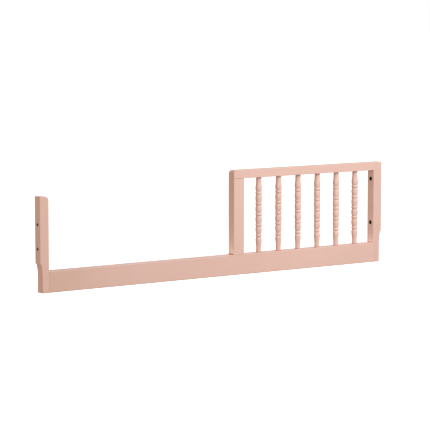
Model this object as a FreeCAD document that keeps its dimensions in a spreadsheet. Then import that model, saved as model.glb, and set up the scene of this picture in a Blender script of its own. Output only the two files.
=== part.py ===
import FreeCAD, Part
import os
import Sketcher

# Toddler guard rail: two end posts, a low rail with an entry gap, and a raised guard of turned
# spindles. The origin is the middle of the underside, +X runs along the rail, +Z is up and
# -Y is the front. Lengths are in millimetres.
DIMENSIONS = {
    "overall_length": 1308.1,
    "overall_height": 336.55,
    "board_thickness": 31.75,
    "left_post_width": 30.0,
    "left_post_height": 292.0,
    "right_post_width": 34.0,
    "entry_width": 675.85,
    "guard_post_width": 40.0,
    "lower_rail_height": 65.0,
    "top_rail_height": 27.0,
    "corner_radius": 12.0,
    "edge_radius": 1.5,
    "left_post_edge_radius": 0.8,
    "joint_edge_radius": 0.5,
    "seam_chamfer": 0.4,
    "relief_depth": 7.5,
    "relief_shoulder": 3.2,
    "left_relief_top": 88.0,
    "left_relief_curve": 34.0,
    "right_relief_top": 102.0,
    "right_relief_curve": 40.0,
    "bolt_hole_radius": 5.0,
    "bolt_recess_radius": 7.0,
    "bolt_recess_depth": 8.0,
    "lower_bolt_height": 133.0,
    "left_upper_bolt_height": 207.0,
    "right_upper_bolt_height": 280.0,
    "dowel_radius": 4.0,
    "dowel_length": 30.0,
    "dowel_chamfer": 0.8,
    "rail_dowel_inset": 19.5,
    "guard_dowel_inset": 11.2,
    "fit_clearance": 0.05,
    "socket_allowance": 0.5,
    "tenon_radius": 6.0,
    "tenon_length": 12.0,
    "top_neck_radius": 8.75,
    "bottom_neck_radius": 8.3,
    "bead_radius": 10.9,
    "bead_height": 9.8,
    "groove_radius": 8.8,
    "groove_height": 2.6,
    "barrel_end_radius": 9.7,
    "barrel_radius": 10.8,
    "low_bead_share": 0.94,
    "bead_pitch": 34.55,
    "beads_centre_height": 188.5,
    "top_bulb_radius": 10.8,
    "bottom_bulb_radius": 10.3,
    "neck_length": 15.0,
    "top_taper": 22.0,
    "bottom_taper": 26.0,
    "top_swell": 0.3,
    "bottom_swell": 0.2,
}
SPINDLE_COUNT = 6
BEAD_COUNT = 5

doc = FreeCAD.newDocument("ToddlerGuardRail")


class Size:
    """A length together with the spreadsheet expression that gives it."""

    def __init__(self, value, text):
        self.value = value
        self.text = text

    def __add__(self, other):
        other = as_size(other)
        return Size(self.value + other.value, f"({self.text} + {other.text})")

    def __sub__(self, other):
        other = as_size(other)
        return Size(self.value - other.value, f"({self.text} - {other.text})")

    def __mul__(self, other):
        other = as_size(other)
        return Size(self.value * other.value, f"({self.text} * {other.text})")

    def __truediv__(self, other):
        other = as_size(other)
        return Size(self.value / other.value, f"({self.text} / {other.text})")

    def __neg__(self):
        return ZERO - self


def as_size(number):
    if isinstance(number, Size):
        return number
    return Size(float(number), str(number))


ZERO = as_size(0)


def write_spreadsheet():
    """Put every driving dimension in a cell with an alias, and return them by name."""
    sheet = doc.addObject("Spreadsheet::Sheet", "Dimensions")
    sizes = {}
    for row, (name, value) in enumerate(DIMENSIONS.items(), start=1):
        sheet.set(f"A{row}", name)
        sheet.set(f"B{row}", str(value))
        sheet.setAlias(f"B{row}", name)
        sizes[name] = Size(value, f"Dimensions.{name}")
    doc.recompute()
    return sizes


def bind(target, prop, size):
    target.setExpression(prop, as_size(size).text)


def place(target, x, y, z):
    """Bind the three coordinates of an object's place."""
    for letter, size in (("x", x), ("y", y), ("z", z)):
        bind(target, f"Placement.Base.{letter}", size)


def new_body(label, x=ZERO, z=ZERO):
    body = doc.addObject("PartDesign::Body", label)
    body.Label = label
    place(body, x, ZERO, z)
    return body


def new_sketch(body, name, role, offset=ZERO):
    """Start a sketch on one of the body's own origin planes, moved along the plane's normal."""
    plane = next(item for item in body.Origin.OriginFeatures if item.Role == role)
    sketch = body.newObject("Sketcher::SketchObject", f"{body.Name}_{name}")
    sketch.AttachmentSupport = [(plane, "")]
    sketch.MapMode = "FlatFace"
    bind(sketch, "AttachmentOffset.Base.z", offset)
    return sketch


def dimension(sketch, kind, name, size, *where):
    """Add a named dimension to a sketch and bind it to the spreadsheet."""
    index = sketch.addConstraint(Sketcher.Constraint(kind, *where, as_size(size).value))
    sketch.renameConstraint(index, name)
    bind(sketch, f"Constraints.{name}", size)


def draw_outline(sketch, corners):
    """Draw a closed outline through (across, up, bulge) corners.

    The bulge is None for a straight side to the next corner, or the height of the arc that
    replaces it, positive to the left of the direction of travel.
    """
    points = [FreeCAD.Vector(as_size(u).value, as_size(v).value, 0) for u, v, _ in corners]
    ends = []
    for number, (_, _, bulge) in enumerate(corners):
        start = points[number]
        stop = points[(number + 1) % len(points)]
        if bulge is None:
            sketch.addGeometry(Part.LineSegment(start, stop))
        else:
            across = stop - start
            left = FreeCAD.Vector(-across.y, across.x, 0).normalize()
            middle = (start + stop) * 0.5 + left * as_size(bulge).value
            sketch.addGeometry(Part.Arc(start, middle, stop))
        starts_here = sketch.getPoint(number, 1).distanceToPoint(start) < 1e-6
        ends.append((1, 2) if starts_here else (2, 1))
    for number, (u, v, bulge) in enumerate(corners):
        following = (number + 1) % len(corners)
        sketch.addConstraint(
            Sketcher.Constraint(
                "Coincident", number, ends[number][1], following, ends[following][0]
            )
        )
        dimension(sketch, "DistanceX", f"u{number}", u, -1, 1, number, ends[number][0])
        dimension(sketch, "DistanceY", f"v{number}", v, -1, 1, number, ends[number][0])
        if bulge is not None:
            next_u, next_v, _ = corners[following]
            chord_u = as_size(next_u) - u
            chord_v = as_size(next_v) - v
            chord_squared = chord_u * chord_u + chord_v * chord_v
            rise = as_size(bulge)
            if rise.value < 0:
                rise = -rise
            radius = (chord_squared / 4 + rise * rise) / (rise * 2)
            dimension(sketch, "Radius", f"r{number}", radius, number)


def pad(body, sketch, depth):
    feature = body.newObject("PartDesign::Pad", f"{body.Name}_Pad")
    feature.Profile = sketch
    feature.Midplane = True
    bind(feature, "Length", depth)
    sketch.Visibility = False
    doc.recompute()
    return feature


def pocket(body, sketch, name, depth=None, along_normal=False):
    """Cut a sketch out of the body, to a depth or through all of it both ways."""
    before = body.Shape.Volume
    feature = body.newObject("PartDesign::Pocket", f"{body.Name}_{name}")
    feature.Profile = sketch
    if depth is None:
        feature.Type = "ThroughAll"
        feature.Midplane = True
    else:
        feature.Reversed = along_normal
        bind(feature, "Length", depth)
    sketch.Visibility = False
    doc.recompute()
    if body.Shape.Volume > before - 1.0:
        raise RuntimeError(f"{feature.Name} removed nothing")
    return feature


def drill(body, name, role, centres, radius, face=ZERO, depth=None, along_normal=False):
    """Drill round holes square to one of the body's planes."""
    sketch = new_sketch(body, f"{name}_centres", role, face)
    for number, (u, v) in enumerate(centres):
        centre = FreeCAD.Vector(as_size(u).value, as_size(v).value, 0)
        sketch.addGeometry(Part.Circle(centre, FreeCAD.Vector(0, 0, 1), as_size(radius).value))
        dimension(sketch, "DistanceX", f"u{number}", u, -1, 1, number, 3)
        dimension(sketch, "DistanceY", f"v{number}", v, -1, 1, number, 3)
        dimension(sketch, "Radius", f"r{number}", radius, number)
    return pocket(body, sketch, name, depth, along_normal)


def edges_where(body, test):
    edges = enumerate(body.Tip.Shape.Edges, start=1)
    return [f"Edge{number}" for number, edge in edges if test(edge)]


def dress(body, kind, name, prop, size, test):
    """Round or chamfer the edges of the body that pass a test."""
    base = body.Tip
    edges = edges_where(body, test)
    feature = body.newObject(f"PartDesign::{kind}", f"{body.Name}_{name}")
    feature.Base = (base, edges)
    bind(feature, prop, size)
    doc.recompute()
    return feature


def runs_along(edge, axis):
    """True for a straight edge along X, Y or Z."""
    spans = (edge.BoundBox.XLength, edge.BoundBox.YLength, edge.BoundBox.ZLength)
    others = [span for number, span in enumerate(spans) if number != axis]
    return spans[axis] > 1e-3 and max(others) < 1e-3


def lies_across(edge):
    """True for an edge that lies in the front or the back face."""
    return edge.BoundBox.YLength < 1e-3


def board(label, width, height, x=ZERO, z=ZERO):
    """A rectangular board, its lower left corner at the body's origin, centred front to back."""
    body = new_body(label, x, z)
    sketch = new_sketch(body, "outline", "XZ_Plane")
    outline = [(ZERO, ZERO, None), (width, ZERO, None), (width, height, None), (ZERO, height, None)]
    draw_outline(sketch, outline)
    pad(body, sketch, d["board_thickness"])
    return body


def round_top_corner(body, across, height):
    """Round the corner between the top and one end of a board."""

    def is_corner(edge):
        middle = edge.CenterOfMass
        at_end = abs(middle.x - as_size(across).value) < 1e-3
        at_top = abs(middle.z - as_size(height).value) < 1e-3
        return runs_along(edge, 1) and at_end and at_top

    dress(body, "Fillet", "corner", "Radius", d["corner_radius"], is_corner)


def cut_relief(body, outer_face, inward, top, curve):
    """Cut the shallow cove low on a post's outer side, from its shoulder down to the floor."""
    margin = 5
    deep = outer_face + d["relief_depth"] * inward
    shoulder = outer_face + d["relief_shoulder"] * inward
    outside = outer_face - as_size(margin) * inward
    run = d["relief_depth"] - d["relief_shoulder"]
    radius = (run * run + curve * curve) / (run * 2)
    # The arc is tangent to the straight part below it, so its rise follows from its radius.
    rise = radius.value - (radius.value**2 - (run.value**2 + curve.value**2) / 4) ** 0.5
    straight_top = top - curve
    sketch = new_sketch(body, "relief_outline", "XZ_Plane")
    corners = [
        (outside, as_size(-margin), None),
        (deep, as_size(-margin), None),
        (deep, straight_top, -inward * rise),
        (shoulder, top, None),
        (outside, top, None),
    ]
    draw_outline(sketch, corners)
    pocket(body, sketch, "relief")


def socket_radius():
    return d["dowel_radius"] + d["fit_clearance"]


def socket_depth():
    return d["dowel_length"] / 2 + d["socket_allowance"]


def rail_dowel_heights():
    """Heights of the two dowels at each end of the lower rail."""
    return [d["rail_dowel_inset"], d["lower_rail_height"] - d["rail_dowel_inset"]]


def guard_dowel_places():
    """Distances of the two dowels from the left side of the guard post."""
    return [d["guard_dowel_inset"], d["guard_post_width"] - d["guard_dowel_inset"]]


def top_rail_dowel_places():
    """Front-to-back places of the two dowels between the top rail and the right post."""
    return [-(d["board_thickness"] / 4), d["board_thickness"] / 4]


def ease_outline(body, radius, joint_side=None, joint_radius=None):
    """Round a board's front and back edges, more lightly on the side that its neighbours join."""

    def is_at_joint(edge):
        at_side = abs(edge.BoundBox.XMax - as_size(joint_side).value) < 1e-3
        return lies_across(edge) and runs_along(edge, 2) and at_side

    def is_free(edge):
        return lies_across(edge) and not (joint_side is not None and is_at_joint(edge))

    if joint_side is not None:
        dress(body, "Fillet", "joint_eased", "Radius", joint_radius, is_at_joint)
    dress(body, "Fillet", "eased", "Radius", radius, is_free)


def ease_long_edges(body, axis, radius):
    """Round only the edges along a board, so that its ends meet their neighbours flush."""

    def is_long(edge):
        return runs_along(edge, axis)

    dress(body, "Fillet", "eased", "Radius", radius, is_long)


def left_post():
    width = d["left_post_width"]
    height = d["left_post_height"]
    body = board("left_post", width, height, left_end)
    round_top_corner(body, width, height)
    cut_relief(body, ZERO, 1, d["left_relief_top"], d["left_relief_curve"])
    ease_outline(body, d["left_post_edge_radius"])
    bolts = [(ZERO, d["lower_bolt_height"]), (ZERO, d["left_upper_bolt_height"])]
    drill(body, "bolt_holes", "YZ_Plane", bolts, d["bolt_hole_radius"])
    recess = (d["bolt_recess_radius"], width, d["bolt_recess_depth"])
    drill(body, "bolt_recesses", "YZ_Plane", bolts, *recess)
    dowels = [(ZERO, height) for height in rail_dowel_heights()]
    drill(body, "sockets", "YZ_Plane", dowels, socket_radius(), width, socket_depth())
    return body


def right_post():
    width = d["right_post_width"]
    height = d["overall_height"]
    body = board("right_post", width, height, right_post_x)
    cut_relief(body, width, -1, d["right_relief_top"], d["right_relief_curve"])
    ease_outline(body, d["edge_radius"], ZERO, d["joint_edge_radius"])
    bolts = [(ZERO, d["lower_bolt_height"]), (ZERO, d["right_upper_bolt_height"])]
    drill(body, "bolt_holes", "YZ_Plane", bolts, d["bolt_hole_radius"])
    recess = (d["bolt_recess_radius"], ZERO, d["bolt_recess_depth"])
    drill(body, "bolt_recesses", "YZ_Plane", bolts, *recess, along_normal=True)
    rail_dowels = [(ZERO, height) for height in rail_dowel_heights()]
    top_dowels = [(y, top_rail_z + d["top_rail_height"] / 2) for y in top_rail_dowel_places()]
    centres = rail_dowels + top_dowels
    drill(body, "sockets", "YZ_Plane", centres, socket_radius(), ZERO, socket_depth(), True)
    return body


def lower_rail():
    length = right_post_x - lower_rail_x
    height = d["lower_rail_height"]
    body = board("lower_rail", length, height, lower_rail_x)
    ease_long_edges(body, 0, d["edge_radius"])
    ends = [(ZERO, height) for height in rail_dowel_heights()]
    drill(body, "left_sockets", "YZ_Plane", ends, socket_radius(), ZERO, socket_depth(), True)
    drill(body, "right_sockets", "YZ_Plane", ends, socket_radius(), length, socket_depth())
    guard = [(guard_post_x - lower_rail_x + place, ZERO) for place in guard_dowel_places()]
    drill(body, "guard_sockets", "XY_Plane", guard, socket_radius(), height, socket_depth())
    tenons = [(x - lower_rail_x, ZERO) for x in spindle_places]
    drill(body, "mortises", "XY_Plane", tenons, tenon_hole_radius, height, tenon_hole_depth)
    return body


def guard_post():
    width = d["guard_post_width"]
    height = top_rail_z - d["lower_rail_height"]
    body = board("guard_post", width, height, guard_post_x, d["lower_rail_height"])
    ease_long_edges(body, 2, d["edge_radius"])

    def is_top_edge(edge):
        return edge.BoundBox.ZMin > height.value - 1e-3

    dress(body, "Chamfer", "seam", "Size", d["seam_chamfer"], is_top_edge)
    centres = [(place, ZERO) for place in guard_dowel_places()]
    drill(body, "top_sockets", "XY_Plane", centres, socket_radius(), height, socket_depth())
    drill(body, "low_sockets", "XY_Plane", centres, socket_radius(), ZERO, socket_depth(), True)
    return body


def top_rail():
    length = right_post_x - guard_post_x
    height = d["top_rail_height"]
    body = board("top_rail", length, height, guard_post_x, top_rail_z)
    round_top_corner(body, ZERO, height)

    def is_eased(edge):
        return lies_across(edge) and edge.BoundBox.XMin < length.value - 1e-3

    dress(body, "Fillet", "eased", "Radius", d["edge_radius"], is_eased)
    guard = [(place, ZERO) for place in guard_dowel_places()]
    drill(body, "guard_sockets", "XY_Plane", guard, socket_radius(), ZERO, socket_depth(), True)
    ends = [(y, height / 2) for y in top_rail_dowel_places()]
    drill(body, "end_sockets", "YZ_Plane", ends, socket_radius(), length, socket_depth())
    tenons = [(x - guard_post_x, ZERO) for x in spindle_places]
    drill(body, "mortises", "XY_Plane", tenons, tenon_hole_radius, ZERO, tenon_hole_depth, True)
    return body


def bead_outline(centre, share, rise_above):
    """Corners up one bead: its lower groove, the bead's arc, its upper groove, the arc above."""
    half = d["bead_height"] / 2
    step = d["groove_height"]
    shoulder = d["barrel_end_radius"] * share
    groove = d["groove_radius"] * share
    rise = d["bead_radius"] * share - groove
    return [
        (shoulder, centre - half - step, None),
        (groove, centre - half, -rise),
        (groove, centre + half, None),
        (shoulder, centre + half + step, -rise_above),
    ]


def spindle(number, x):
    """One turned spindle: round tenons, plain necks, and beads between swelling barrels."""
    body = new_body(f"spindle_{number}", x)
    sketch = new_sketch(body, "profile", "XZ_Plane")
    bottom = d["lower_rail_height"]
    top = top_rail_z
    low_neck = bottom + d["neck_length"]
    high_neck = top - d["neck_length"]
    low_swell = d["bottom_swell"]
    high_swell = d["top_swell"]
    low_flank = (d["bottom_neck_radius"] + d["bottom_bulb_radius"]) / 2
    high_flank = (d["top_neck_radius"] + d["top_bulb_radius"]) / 2
    corners = [
        (ZERO, bottom - d["tenon_length"], None),
        (d["tenon_radius"], bottom - d["tenon_length"], None),
        (d["tenon_radius"], bottom, None),
        (d["bottom_neck_radius"], bottom, None),
        (d["bottom_neck_radius"], low_neck, low_swell),
        (low_flank, low_neck + d["bottom_taper"] / 2, -low_swell),
        (d["bottom_bulb_radius"], low_neck + d["bottom_taper"], -low_swell),
    ]
    barrel_rise = d["barrel_radius"] - d["barrel_end_radius"]
    for index in range(BEAD_COUNT):
        centre = d["beads_centre_height"] + d["bead_pitch"] * (index - (BEAD_COUNT - 1) / 2)
        share = d["low_bead_share"] if index == 0 else as_size(1)
        above = high_swell if index == BEAD_COUNT - 1 else barrel_rise
        corners += bead_outline(centre, share, above)
    corners += [
        (d["top_bulb_radius"], high_neck - d["top_taper"], -high_swell),
        (high_flank, high_neck - d["top_taper"] / 2, high_swell),
        (d["top_neck_radius"], high_neck, None),
        (d["top_neck_radius"], top, None),
        (d["tenon_radius"], top, None),
        (d["tenon_radius"], top + d["tenon_length"], None),
        (ZERO, top + d["tenon_length"], None),
    ]
    draw_outline(sketch, corners)
    feature = body.newObject("PartDesign::Revolution", f"{body.Name}_turned")
    feature.Profile = sketch
    feature.ReferenceAxis = (sketch, ["V_Axis"])
    feature.Angle = 360
    sketch.Visibility = False
    doc.recompute()
    return body


def dowel(label, x, y, z, axis):
    """A chamfered beech dowel centred on a point, along X or Z."""
    core = doc.addObject("Part::Cylinder", f"{label}_core")
    bind(core, "Radius", d["dowel_radius"])
    bind(core, "Height", d["dowel_length"])
    doc.recompute()
    rims = [
        number
        for number, edge in enumerate(core.Shape.Edges, start=1)
        if edge.BoundBox.ZLength < 1e-3
    ]
    chamfer = d["dowel_chamfer"].value
    peg = doc.addObject("Part::Chamfer", label)
    peg.Label = label
    peg.Base = core
    peg.Edges = [(number, chamfer, chamfer) for number in rims]
    half = d["dowel_length"] / 2
    if axis == "X":
        peg.Placement.Rotation = FreeCAD.Rotation(FreeCAD.Vector(0, 1, 0), 90)
        place(peg, x - half, y, z)
    else:
        place(peg, x, y, z - half)
    return peg


def dowels():
    """The pairs of dowels in the five glued joints."""
    made = []
    top_joint_z = top_rail_z + d["top_rail_height"] / 2
    for number, height in enumerate(rail_dowel_heights(), start=1):
        made.append(dowel(f"left_rail_dowel_{number}", lower_rail_x, ZERO, height, "X"))
        made.append(dowel(f"right_rail_dowel_{number}", right_post_x, ZERO, height, "X"))
    for number, across in enumerate(guard_dowel_places(), start=1):
        x = guard_post_x + across
        made.append(dowel(f"guard_foot_dowel_{number}", x, ZERO, d["lower_rail_height"], "Z"))
        made.append(dowel(f"guard_head_dowel_{number}", x, ZERO, top_rail_z, "Z"))
    for number, y in enumerate(top_rail_dowel_places(), start=1):
        made.append(dowel(f"top_rail_dowel_{number}", right_post_x, y, top_joint_z, "X"))
    return made


def write_parts(parts):
    """Check every object of the document, then write one STEP file for each sub-part."""
    doc.recompute()
    for item in doc.Objects:
        if "Invalid" in item.State or "Error" in item.State:
            raise RuntimeError(f"{item.Name} is {item.State}")
    os.makedirs("parts", exist_ok=True)
    for part in parts:
        shape = part.Shape
        if shape.isNull() or not shape.isValid():
            raise RuntimeError(f"{part.Label} has no valid shape")
        shape.exportStep(f"parts/{part.Label}.step")


d = write_spreadsheet()
left_end = -(d["overall_length"] / 2)
lower_rail_x = left_end + d["left_post_width"]
guard_post_x = lower_rail_x + d["entry_width"]
right_post_x = d["overall_length"] / 2 - d["right_post_width"]
top_rail_z = d["overall_height"] - d["top_rail_height"]
guard_right = guard_post_x + d["guard_post_width"]
spindle_pitch = (right_post_x - guard_right + d["barrel_radius"] * 2) / (SPINDLE_COUNT + 1)
spindle_places = [
    guard_right - d["barrel_radius"] + spindle_pitch * number
    for number in range(1, SPINDLE_COUNT + 1)
]
tenon_hole_radius = d["tenon_radius"] + d["fit_clearance"]
tenon_hole_depth = d["tenon_length"] + d["socket_allowance"]

boards = [left_post(), lower_rail(), guard_post(), top_rail(), right_post()]
spindles = [spindle(number, x) for number, x in enumerate(spindle_places, start=1)]
write_parts(boards + spindles + dowels())
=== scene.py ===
import math

import bpy
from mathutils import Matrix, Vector


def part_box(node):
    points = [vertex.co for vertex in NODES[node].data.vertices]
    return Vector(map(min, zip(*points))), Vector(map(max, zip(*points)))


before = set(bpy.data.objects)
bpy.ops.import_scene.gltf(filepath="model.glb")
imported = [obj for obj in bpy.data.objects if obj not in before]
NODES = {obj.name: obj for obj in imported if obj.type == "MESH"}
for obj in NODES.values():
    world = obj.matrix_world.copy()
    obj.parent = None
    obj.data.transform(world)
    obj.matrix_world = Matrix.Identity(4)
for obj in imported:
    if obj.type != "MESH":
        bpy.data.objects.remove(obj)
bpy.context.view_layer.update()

# Satin blush paint, as linear colour; the painted shade it turns to in grooves and crevices, which
# also tints the grain lines; and the painted highlight it turns to on eased edges.
PAINT = (0.72, 0.488, 0.415)
PAINT_GRAIN_AND_SHADE = (0.46, 0.215, 0.155)
PAINT_EDGE_HIGHLIGHT = (0.80, 0.535, 0.465)
# Beech for the dowels.
BEECH_LIGHT = (0.62, 0.43, 0.26)
BEECH_DARK = (0.40, 0.235, 0.125)

# The bolt holes: their heights, the stretch of x that their wide mouths take up on the post's
# inner side, and the painted shade on their walls, dark brown at the left and near black at the
# right, that stands for the shade inside the holes. A hair is added so that the walls themselves
# are surely inside.
BORE_RADIUS = 0.005
RECESS_RADIUS = 0.007
RECESS_DEPTH = 0.008
HAIR = 0.00015
LEFT_INNER_SIDE = -0.62405
RIGHT_INNER_SIDE = 0.62005
BORES = {
    "left_post": (
        (0.133, 0.207),
        (LEFT_INNER_SIDE - RECESS_DEPTH - HAIR, LEFT_INNER_SIDE - HAIR),
        (0.21, 0.085, 0.050),
    ),
    "right_post": (
        (0.133, 0.280),
        (RIGHT_INNER_SIDE + HAIR, RIGHT_INNER_SIDE + RECESS_DEPTH + HAIR),
        (0.018, 0.010, 0.006),
    ),
}

# The way the grain runs in each piece, and how much lighter or darker its colour is made.
LONG = 0
UPRIGHT = 2
PIECES = {
    "left_post": (UPRIGHT, 1.0),
    "lower_rail": (LONG, 1.0),
    "guard_post": (UPRIGHT, 1.0),
    "top_rail": (LONG, 0.992),
    "right_post": (UPRIGHT, 0.96),
    "spindle_1": (UPRIGHT, 1.045),
    "spindle_2": (UPRIGHT, 1.04),
    "spindle_3": (UPRIGHT, 1.05),
    "spindle_4": (UPRIGHT, 1.042),
    "spindle_5": (UPRIGHT, 1.05),
    "spindle_6": (UPRIGHT, 1.038),
}
# Towards the left the colour is made a little darker and yellower: the x where it is
# darkest, the x where it is full again, and the share of the full colour left where it is
# darkest. The whole left post lies left of its own stretch, so it is darker all over.
LEFT_DARKENING = {
    "left_post": (-0.61, -0.60, (0.995, 0.99, 0.95)),
    "lower_rail": (-0.62, -0.32, (0.905, 0.90, 0.85)),
}

# The figure of the wood. The rings lie round a pith outside the board, whose place changes a
# little from piece to piece, and they are drawn out along the grain. Fibres and pores are noises,
# with one scale along the grain and one across it.
PITH = (0.045, 0.07, 0.06)
PITH_STEP_X = 0.006
PITH_STEP_Y = -0.004
RING_SCALE = 62.0
RING_DRAW = 0.12
RING_WANDER = {"Distortion": 5.0, "Detail": 2.0, "Detail Scale": 0.30, "Detail Roughness": 0.5}
FIBRE_SCALES = (7.0, 420.0)
PORE_SCALES = (70.0, 1500.0)

# What breaks up the coat: the scale and the detail of each noise, from the slow change of tone
# along a board to specks of dust.
CLOUDS = (4.5, 2.0)
PATCHES = (38.0, 3.0)
ORANGE_PEEL = (950.0, 2.0)
DUST = (5200.0, 1.0)

# How far the painted highlight on eased edges and the painted shade in grooves reach, and the most
# that shows of each.
# Rings and fibres take a little of the groove shade's colour, as grain.
EDGE_HIGHLIGHT_REACH = 0.0022
EDGE_HIGHLIGHT_SHARE = 0.32
GROOVE_SHADE_REACH = 0.0045
GROOVE_SHADE_SHARE = 0.95
FIGURE_SHARE = 0.10

# The depth of each kind of relief, painted and bare.
RING_RELIEF = 0.000035
FIBRE_RELIEF = 0.00005
PORE_RELIEF = 0.00002
PEEL_RELIEF = 0.000022
DUST_RELIEF = 0.000003
BARE_FIBRE_RELIEF = 0.00012
BARE_PORE_RELIEF = 0.00006

# The finish of the paint, of the bare dowels and of the raw walls of the bolt holes.
SATIN = {
    "IOR": 1.47,
    "Specular IOR Level": 0.42,
    "Coat Weight": 0.12,
    "Coat Roughness": 0.28,
    "Coat IOR": 1.45,
}
BARE_SPECULAR = 0.3
BORE_ROUGHNESS = 0.9

# Seeds shift the textures, so that no two pieces are cut from the same wood.
PAINT_SEED = 1
BEECH_SEED = 20
SEED_SHIFT = (0.37, 0.21, 0.13)


class Graph:
    """The node tree of a material or a world, with short calls for the nodes it is made of."""

    def __init__(self, owner):
        owner.use_nodes = True
        self.owner = owner
        self.tree = owner.node_tree
        self.tree.nodes.clear()

    def add(self, kind, inputs=None, **settings):
        node = self.tree.nodes.new(kind)
        for key, value in settings.items():
            setattr(node, key, value)
        for key, value in (inputs or {}).items():
            self.plug(node.inputs[key], value)
        return node

    def plug(self, socket, value):
        if isinstance(value, bpy.types.NodeSocket):
            self.tree.links.new(value, socket)
        else:
            socket.default_value = value

    def math(self, operation, first, second):
        node = self.add("ShaderNodeMath", operation=operation)
        self.plug(node.inputs[0], first)
        self.plug(node.inputs[1], second)
        return node.outputs[0]

    def ramp(self, value, low, high, out_low=0.0, out_high=1.0):
        """Turns a value from low to high smoothly into one from out_low to out_high."""
        node = self.add(
            "ShaderNodeMapRange",
            {"Value": value, "From Min": low, "From Max": high,
             "To Min": out_low, "To Max": out_high},
            interpolation_type="SMOOTHSTEP",
        )
        return node.outputs["Result"]

    def mix(self, factor, first, second):
        node = self.add("ShaderNodeMix", data_type="RGBA")
        self.plug(node.inputs["Factor"], factor)
        for socket, value in ((node.inputs[6], first), (node.inputs[7], second)):
            self.plug(socket, value if isinstance(value, bpy.types.NodeSocket) else (*value, 1.0))
        return node.outputs[2]

    def split(self, vector):
        """The x, y and z of a vector."""
        return self.add("ShaderNodeSeparateXYZ", {"Vector": vector}).outputs

    def noise(self, vector, scale, detail, roughness=0.5):
        node = self.add(
            "ShaderNodeTexNoise",
            {"Vector": vector, "Scale": scale, "Detail": detail, "Roughness": roughness},
        )
        return node.outputs["Fac"]

    def bump(self, height, distance, normal=None):
        node = self.add("ShaderNodeBump", {"Height": height, "Strength": 1.0, "Distance": distance})
        if normal is not None:
            self.plug(node.inputs["Normal"], normal)
        return node.outputs["Normal"]

    def finish(self, shader, output="ShaderNodeOutputMaterial"):
        self.add(output, {"Surface": shader.outputs[0]})
        return self.owner


def material_graph(name):
    return Graph(bpy.data.materials.new(name))


def along(axis, lengthwise, across):
    """Scales that stretch a texture along one axis."""
    scale = [across, across, across]
    scale[axis] = lengthwise
    return tuple(scale)


def wood_textures(g, axis, seed):
    """The place on the piece, and its growth rings, fibres and pores, each from 0 to 1."""
    place = g.add("ShaderNodeTexCoord").outputs["Object"]
    shift = tuple(step * seed for step in SEED_SHIFT)

    def stretched(lengthwise, across):
        node = g.add(
            "ShaderNodeMapping",
            {"Vector": place, "Location": shift, "Scale": along(axis, lengthwise, across)},
        )
        return node.outputs["Vector"]

    pith = [PITH[0] + PITH_STEP_X * (seed % 3), PITH[1] + PITH_STEP_Y * (seed % 4), PITH[2]]
    pith[axis] = 0.0
    rings_place = g.add(
        "ShaderNodeMapping",
        {"Vector": place, "Location": tuple(pith), "Scale": along(axis, RING_DRAW, 1.0)},
    )
    rings = g.add(
        "ShaderNodeTexWave",
        {"Vector": rings_place.outputs["Vector"], "Scale": RING_SCALE, **RING_WANDER},
        wave_type="RINGS",
        rings_direction="XYZ"[axis],
        wave_profile="SAW",
    )
    fibres = g.noise(stretched(*FIBRE_SCALES), 1.0, 4.0, 0.6)
    pores = g.noise(stretched(*PORE_SCALES), 1.0, 1.0, 0.4)
    return place, rings.outputs["Fac"], fibres, pores


def bore_mask(g, place, heights, mouth):
    """1 on the walls of the bolt holes that cross a post at these heights, 0 elsewhere."""
    x, y, z = g.split(place)
    in_mouth = g.math(
        "MULTIPLY",
        g.math("GREATER_THAN", x, mouth[0]),
        g.math("LESS_THAN", x, mouth[1]),
    )
    wider = g.math("MULTIPLY", in_mouth, RECESS_RADIUS - BORE_RADIUS)
    radius = g.math("ADD", BORE_RADIUS + HAIR, wider)
    across = g.math("MULTIPLY", y, y)
    found = 0.0
    for height in heights:
        rise = g.math("SUBTRACT", z, height)
        reach = g.math("POWER", g.math("ADD", g.math("MULTIPLY", rise, rise), across), 0.5)
        found = g.math("MAXIMUM", found, g.math("LESS_THAN", reach, radius))
    return found


def painted_edge_highlight(g, patches):
    """How much painted highlight shows on eased edges: none on flats, and less where the coat is
    patchy.
    """
    bevelled = g.add("ShaderNodeBevel", {"Radius": EDGE_HIGHLIGHT_REACH}, samples=4)
    geometry = g.add("ShaderNodeNewGeometry")
    facing = g.add("ShaderNodeVectorMath", operation="DOT_PRODUCT")
    g.plug(facing.inputs[0], bevelled.outputs["Normal"])
    g.plug(facing.inputs[1], geometry.outputs["Normal"])
    edge = g.ramp(facing.outputs["Value"], 0.998, 0.93, 0.0, EDGE_HIGHLIGHT_SHARE)
    return g.math("MULTIPLY", edge, g.ramp(patches, 0.25, 0.7, 0.45, 1.0))


def painted_groove_shade(g):
    """How much painted shade shows in each groove and crevice: the less open air within reach, the
    more.
    """
    open_air = g.add("ShaderNodeAmbientOcclusion", {"Distance": GROOVE_SHADE_REACH}, samples=8)
    return g.ramp(open_air.outputs["AO"], 0.92, 0.45, 0.0, GROOVE_SHADE_SHARE)


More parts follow.
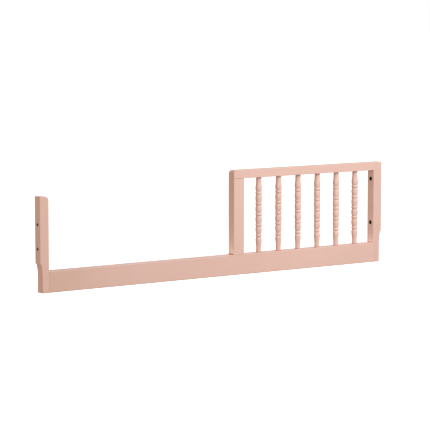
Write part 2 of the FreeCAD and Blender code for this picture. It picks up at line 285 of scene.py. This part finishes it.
def painted_wood(name, axis, tone, seed, bores=None, left_darkening=None):
    """Sprayed satin paint over wood whose grain shows through faintly, with painted highlights and
    painted shade.
    """
    g = material_graph(name)
    place, rings, fibres, pores = wood_textures(g, axis, seed)
    clouds = g.noise(place, *CLOUDS)
    patches = g.noise(place, *PATCHES)
    peel = g.noise(place, *ORANGE_PEEL)
    dust = g.noise(place, *DUST)

    def toned(colour, factor=1.0):
        return tuple(channel * tone * factor for channel in colour)

    colour = g.mix(g.ramp(clouds, 0.3, 0.7), toned(PAINT, 0.975), toned(PAINT, 1.02))
    # Darker and yellower towards the left.
    if left_darkening:
        darkest_x, full, share = left_darkening
        x = g.split(place)["X"]
        darkened = tuple(channel * part for channel, part in zip(toned(PAINT), share))
        colour = g.mix(g.ramp(x, darkest_x, full), darkened, colour)
    colour = g.mix(g.ramp(patches, 0.35, 0.75, 0.0, 0.5), colour, toned(PAINT, 0.985))
    for line in (
        g.ramp(rings, 0.72, 0.98, 0.0, FIGURE_SHARE),
        g.ramp(fibres, 0.56, 0.75, 0.0, FIGURE_SHARE),
    ):
        colour = g.mix(line, colour, toned(PAINT_GRAIN_AND_SHADE))
    # Painted highlight on eased edges.
    colour = g.mix(painted_edge_highlight(g, patches), colour, toned(PAINT_EDGE_HIGHLIGHT))
    # Painted shade in grooves, crevices and joints, where little open air is within reach.
    colour = g.mix(painted_groove_shade(g), colour, toned(PAINT_GRAIN_AND_SHADE))

    roughness = g.ramp(patches, 0.3, 0.7, 0.36, 0.43)
    roughness = g.math("ADD", roughness, g.ramp(pores, 0.55, 0.75, 0.0, 0.10))

    if bores:
        heights, mouth, bore_shade = bores
        hole = bore_mask(g, place, heights, mouth)
        # Painted shade on the walls of the bolt holes.
        colour = g.mix(hole, colour, bore_shade)
        roughness = g.math("MAXIMUM", roughness, g.math("MULTIPLY", hole, BORE_ROUGHNESS))

    normal = g.bump(rings, RING_RELIEF)
    normal = g.bump(fibres, FIBRE_RELIEF, normal)
    normal = g.bump(g.ramp(pores, 0.62, 0.78, 1.0, 0.0), PORE_RELIEF, normal)
    normal = g.bump(peel, PEEL_RELIEF, normal)
    normal = g.bump(dust, DUST_RELIEF, normal)

    shader = g.add(
        "ShaderNodeBsdfPrincipled",
        {"Base Color": colour, "Roughness": roughness, "Normal": normal, **SATIN},
    )
    return g.finish(shader)


def bare_beech(name, axis, seed):
    """Plain unfinished beech with its short dark flecks."""
    g = material_graph(name)
    _, rings, fibres, pores = wood_textures(g, axis, seed)
    colour = g.mix(g.ramp(fibres, 0.3, 0.7), BEECH_LIGHT, BEECH_DARK)
    colour = g.mix(g.ramp(rings, 0.6, 1.0, 0.0, 0.4), colour, BEECH_DARK)
    colour = g.mix(g.ramp(pores, 0.62, 0.7, 0.0, 0.7), colour, BEECH_DARK)
    normal = g.bump(fibres, BARE_FIBRE_RELIEF)
    normal = g.bump(g.ramp(pores, 0.6, 0.75, 1.0, 0.0), BARE_PORE_RELIEF, normal)
    roughness = g.ramp(pores, 0.3, 0.8, 0.62, 0.78)
    shader = g.add(
        "ShaderNodeBsdfPrincipled",
        {"Base Color": colour, "Roughness": roughness, "Normal": normal,
         "Specular IOR Level": BARE_SPECULAR},
    )
    return g.finish(shader)


def dress(node, material):
    """Gives a CAD node its material, on the object and not on the mesh."""
    for place in NODES[node].material_slots:
        place.link = "OBJECT"
        place.material = material


for seed, (name, (axis, tone)) in enumerate(PIECES.items(), PAINT_SEED):
    extras = (BORES.get(name), LEFT_DARKENING.get(name))
    dress(name, painted_wood("paint_" + name, axis, tone, seed, *extras))

for seed, name in enumerate(sorted(n for n in NODES if "_dowel_" in n), BEECH_SEED):
    low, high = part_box(name)
    size = high - low
    axis = max(range(3), key=lambda k: size[k])
    dress(name, bare_beech("beech_" + name, axis, seed))


# The floor: plain and white, so far-reaching that its edge is out of every view. It glows a
# little, so that it stays white under soft light, and it throws no light on the object.
FLOOR_HALF_WIDTH = 30.0
FLOOR_CELLS = 24
FLOOR_GROWTH = 2.2
FLOOR_COLOUR = (0.86, 0.86, 0.86, 1.0)
FLOOR_GLOW = 0.61
WHITE = (1.0, 1.0, 1.0)


def floor_mesh(half_width, cells, growth):
    """A square grid whose cells grow towards its edge."""
    shares = [2.0 * i / cells - 1.0 for i in range(cells + 1)]
    steps = [half_width * math.copysign(abs(share) ** growth, share) for share in shares]
    verts = [(x, y, 0.0) for y in steps for x in steps]
    row = cells + 1
    corners = [j * row + i for j in range(cells) for i in range(cells)]
    faces = [(c, c + 1, c + row + 1, c + row) for c in corners]
    mesh = bpy.data.meshes.new("studio_floor")
    mesh.from_pydata(verts, [], faces)
    return mesh


def floor_material():
    g = material_graph("studio_floor")
    matte = g.add("ShaderNodeBsdfDiffuse", {"Color": FLOOR_COLOUR})
    glow = g.add("ShaderNodeEmission", {"Color": (*WHITE, 1.0), "Strength": FLOOR_GLOW})
    both = g.add("ShaderNodeAddShader")
    g.plug(both.inputs[0], matte.outputs[0])
    g.plug(both.inputs[1], glow.outputs[0])
    return g.finish(both)


def place_in_scene(name, data):
    holder = bpy.data.objects.new(name, data)
    bpy.context.scene.collection.objects.link(holder)
    return holder


floor = place_in_scene("studio_floor", floor_mesh(FLOOR_HALF_WIDTH, FLOOR_CELLS, FLOOR_GROWTH))
floor.data.materials.append(floor_material())
floor.visible_diffuse = False
floor.visible_glossy = False

# The sky: white where the camera sees it. What lights the object instead is a surround that is
# bright and warm on the left, grey on the right, darker below than above, and darkest towards
# the back left.
SURROUND_LEFT = (0.93, 0.745, 0.635)
SURROUND_RIGHT = (0.54, 0.54, 0.54)
SURROUND_BELOW = (0.42, 0.325, 0.275)
SURROUND_ABOVE = (0.66, 0.63, 0.62)
SURROUND_BEHIND = (0.22, 0.14, 0.11)
BEHIND_SHARE = 0.85


def studio_world():
    g = Graph(bpy.data.worlds.new("studio"))
    x, y, z = g.split(g.add("ShaderNodeTexCoord").outputs["Generated"])
    sideways = g.mix(g.ramp(x, -1.0, 1.0), SURROUND_LEFT, SURROUND_RIGHT)
    upright = g.mix(g.ramp(z, -1.0, 1.0), SURROUND_BELOW, SURROUND_ABOVE)
    behind = g.ramp(y, -0.3, 1.0, 0.0, BEHIND_SHARE)
    on_the_left = g.ramp(x, -0.4, 0.3, 1.0, 0.0)
    dim = g.math("MULTIPLY", behind, on_the_left)
    surround = g.mix(dim, g.mix(0.5, sideways, upright), SURROUND_BEHIND)
    seen = g.add("ShaderNodeLightPath").outputs["Is Camera Ray"]
    colour = g.mix(seen, surround, WHITE)
    background = g.add("ShaderNodeBackground", {"Color": colour, "Strength": 1.0})
    return g.finish(background, "ShaderNodeOutputWorld")


bpy.context.scene.world = studio_world()

# Each light: where it stands, what it faces, its width, height and power, and its colour.
LIGHTS = {
    "key": ((0.8, -1.7, 1.8), (0.2, 0.0, 0.2), 0.5, 0.5, 44.0, (0.90, 0.96, 1.0)),
    "side_fill": ((-4.6, -2.0, 0.9), (0.0, 0.0, 0.17), 1.5, 1.5, 26.0, (0.93, 0.965, 1.0)),
    "back": ((2.95, 4.25, 0.12), (0.0, 0.0, 0.17), 1.2, 0.2, 64.0, (1.0, 0.98, 0.97)),
}
# Weak panels for the light that the rail's top and the last spindle throw back on the sides of
# the posts. They only light what they face and are never seen. Each lies within the depth of the
# boards, just above the rail or just beside the spindle.
BOUNCE_COLOUR = (0.92, 1.0, 0.94)
BOUNCES = {
    "bounce_gap": ((-0.057, 0.0, 0.0655), (-0.057, 0.0, 1.0), 0.206, 0.029, 0.035),
    "bounce_foot": ((0.594, 0.0, 0.0655), (0.594, 0.0, 1.0), 0.050, 0.029, 0.006),
    "bounce_guard": ((0.566, 0.0, 0.19), (1.0, 0.0, 0.19), 0.029, 0.23, 0.0130),
}


def area_light(name, place, target, width, height, power, colour):
    light = bpy.data.lights.new(name, "AREA")
    light.shape = "RECTANGLE"
    light.size = width
    light.size_y = height
    light.energy = power
    light.color = colour
    holder = place_in_scene(name, light)
    holder.location = place
    holder.rotation_euler = (Vector(target) - Vector(place)).to_track_quat("-Z", "Y").to_euler()
    return holder


for name, settings in LIGHTS.items():
    area_light(name, *settings)
bpy.data.objects["back"].visible_glossy = False

for name, settings in BOUNCES.items():
    panel = area_light(name, *settings, BOUNCE_COLOUR)
    panel.visible_camera = False
    panel.visible_glossy = False

# The camera, in front and to the left, a little above the rail: its turn to the right of straight
# back and its dip below level, in degrees, and its lens and sensor in millimetres.
CAMERA_PLACE = (-3.501, -5.149, 0.887)
CAMERA_TURN = 34.13
CAMERA_DIP = 6.334
CAMERA_LENS = 164.71
CAMERA_SENSOR = 36.0
FAR_CLIP = 200.0
camera_data = bpy.data.cameras.new("camera")
camera_data.sensor_width = CAMERA_SENSOR
camera_data.lens = CAMERA_LENS
camera_data.clip_end = FAR_CLIP
camera = place_in_scene("camera", camera_data)
camera.location = CAMERA_PLACE
camera.rotation_euler = (math.radians(90.0 - CAMERA_DIP), 0.0, -math.radians(CAMERA_TURN))
bpy.context.scene.camera = camera

bpy.context.scene.view_settings.view_transform = "Standard"
bpy.context.scene.view_settings.look = "None"
